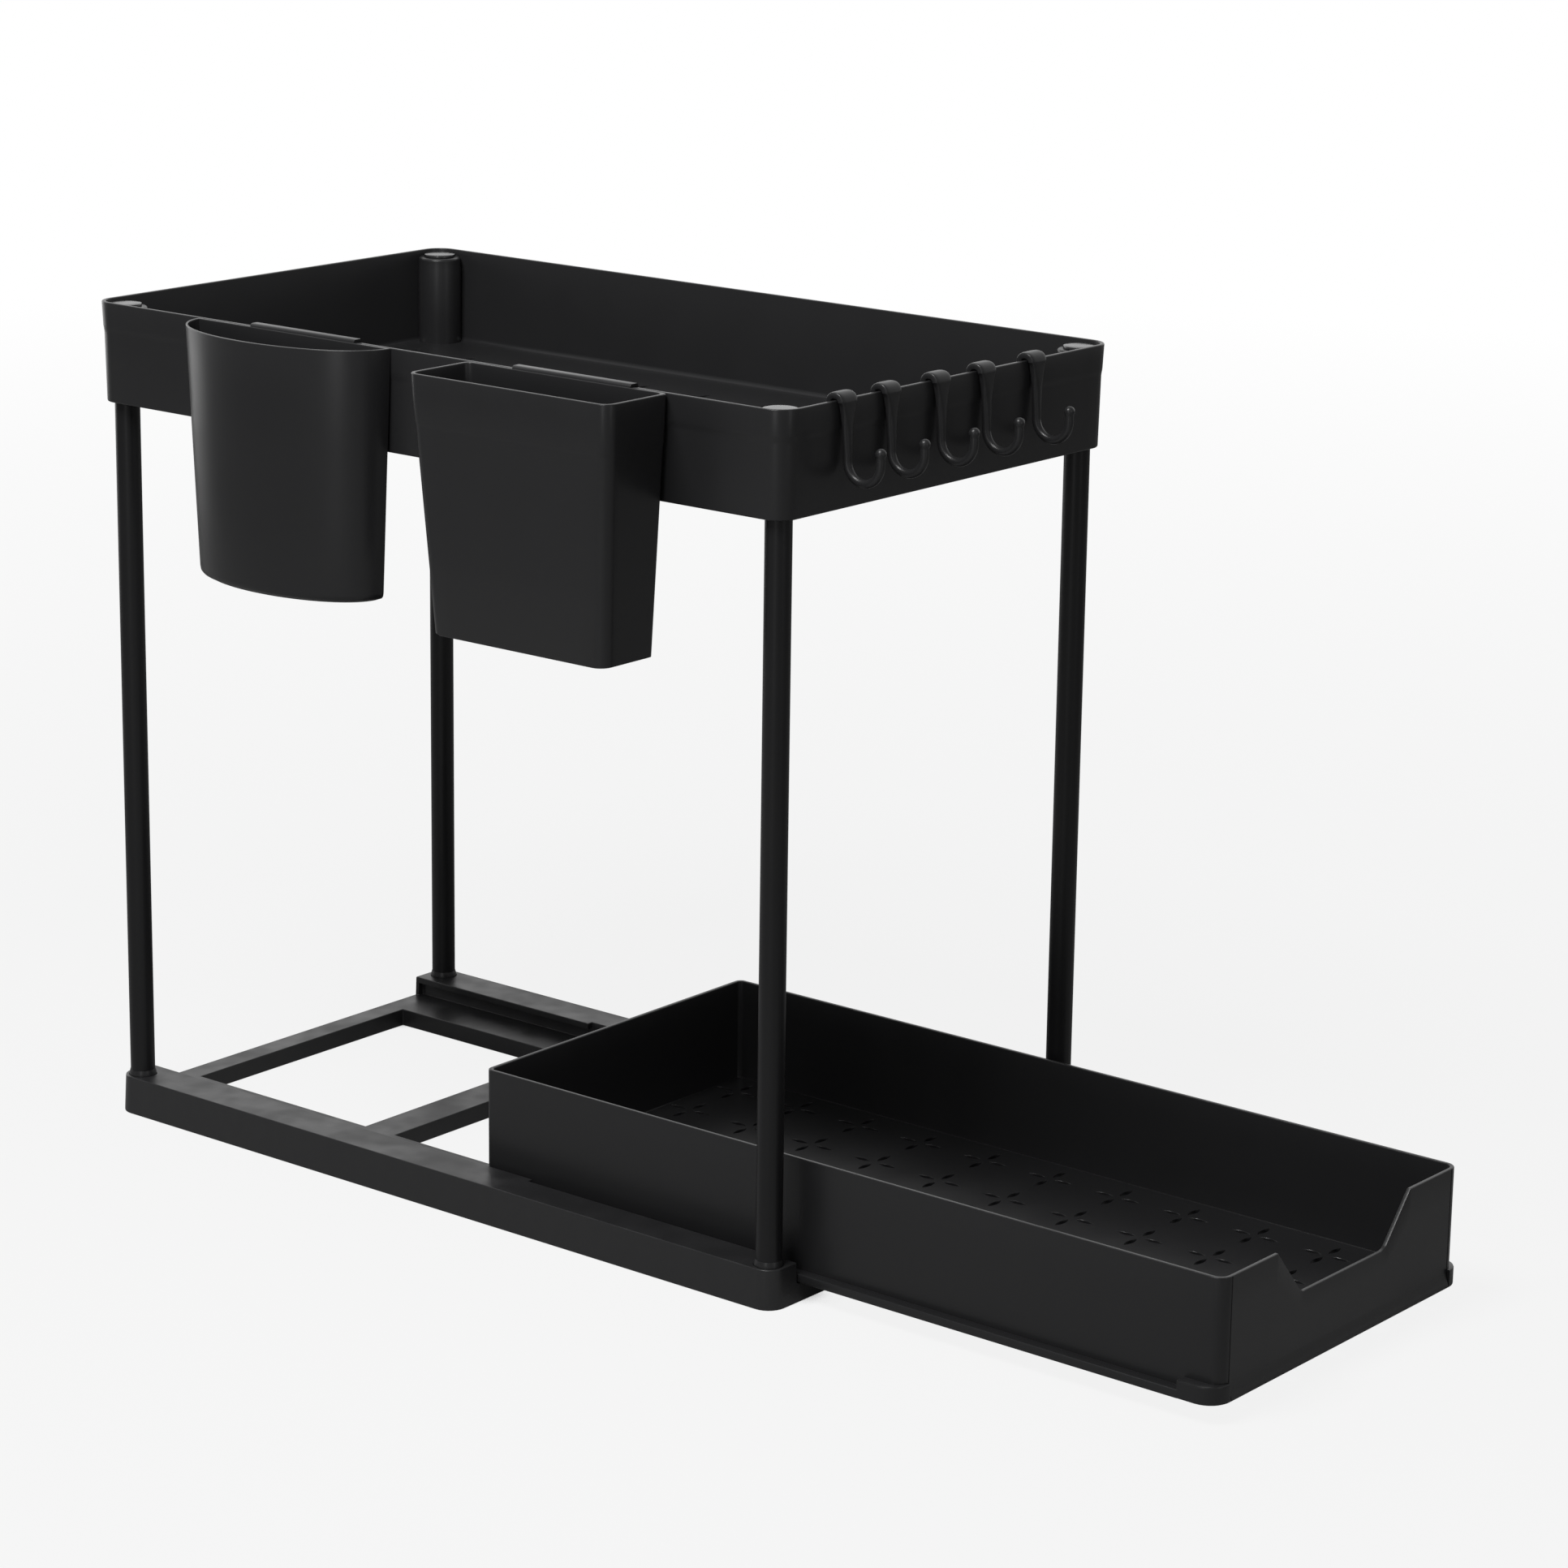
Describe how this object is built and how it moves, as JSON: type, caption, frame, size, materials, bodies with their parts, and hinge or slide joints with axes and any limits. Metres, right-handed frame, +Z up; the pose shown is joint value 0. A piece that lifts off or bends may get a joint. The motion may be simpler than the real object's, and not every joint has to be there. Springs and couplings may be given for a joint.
{
  "type": "under sink organizer",
  "caption": "Two-tier black under sink organizer: slide-out drawer in a base frame, tubular poles, top tray, two hanging cups and hooks.",
  "frame": {"origin": "middle of the base frame's footprint, on the floor", "axes": "+Z up; -Y is the front, where the drawer comes out; the two cups hang on the -X side"},
  "size_m": [0.2795, 0.6422, 0.4077],
  "materials": {
    "black_plastic": "satin",
    "black_pole": "semi-gloss",
    "black_hook": "satin"
  },
  "bodies": {
    "frame": {"base_frame": "black_plastic", "top_tray": "black_plastic", "pole_rear_left": "black_pole", "pole_rear_right": "black_pole", "pole_front_left": "black_pole", "pole_front_right": "black_pole", "pole_cap_rear_left": "black_plastic", "pole_cap_rear_right": "black_plastic", "pole_cap_front_left": "black_plastic", "pole_cap_front_right": "black_plastic", "foot_sleeve_rear_left": "black_plastic", "foot_sleeve_rear_right": "black_plastic", "foot_sleeve_front_left": "black_plastic", "foot_sleeve_front_right": "black_plastic"},
    "drawer": {"drawer": "black_plastic"},
    "half_round_cup": {"half_round_cup": "black_plastic"},
    "rectangular_cup": {"rectangular_cup": "black_plastic"},
    "hook_1": {"hook_1": "black_hook"},
    "hook_2": {"hook_2": "black_hook"},
    "hook_3": {"hook_3": "black_hook"},
    "hook_4": {"hook_4": "black_hook"},
    "hook_5": {"hook_5": "black_hook"}
  },
  "joints": [
    {"name": "drawer_slide", "type": "slide", "parent": "frame", "child": "drawer", "axis": [0, 1, 0], "range_m": [0, 0.2219]},
    {"name": "half_round_cup_lift", "type": "slide", "parent": "frame", "child": "half_round_cup", "axis": [0, 0, 1], "range_m": [0, 0.04]},
    {"name": "rectangular_cup_lift", "type": "slide", "parent": "frame", "child": "rectangular_cup", "axis": [0, 0, 1], "range_m": [0, 0.04]},
    {"name": "hook_1_lift", "type": "slide", "parent": "frame", "child": "hook_1", "axis": [0, 0, 1], "range_m": [0, 0.025]},
    {"name": "hook_2_lift", "type": "slide", "parent": "frame", "child": "hook_2", "axis": [0, 0, 1], "range_m": [0, 0.025]},
    {"name": "hook_3_lift", "type": "slide", "parent": "frame", "child": "hook_3", "axis": [0, 0, 1], "range_m": [0, 0.025]},
    {"name": "hook_4_lift", "type": "slide", "parent": "frame", "child": "hook_4", "axis": [0, 0, 1], "range_m": [0, 0.025]},
    {"name": "hook_5_lift", "type": "slide", "parent": "frame", "child": "hook_5", "axis": [0, 0, 1], "range_m": [0, 0.025]}
  ]
}
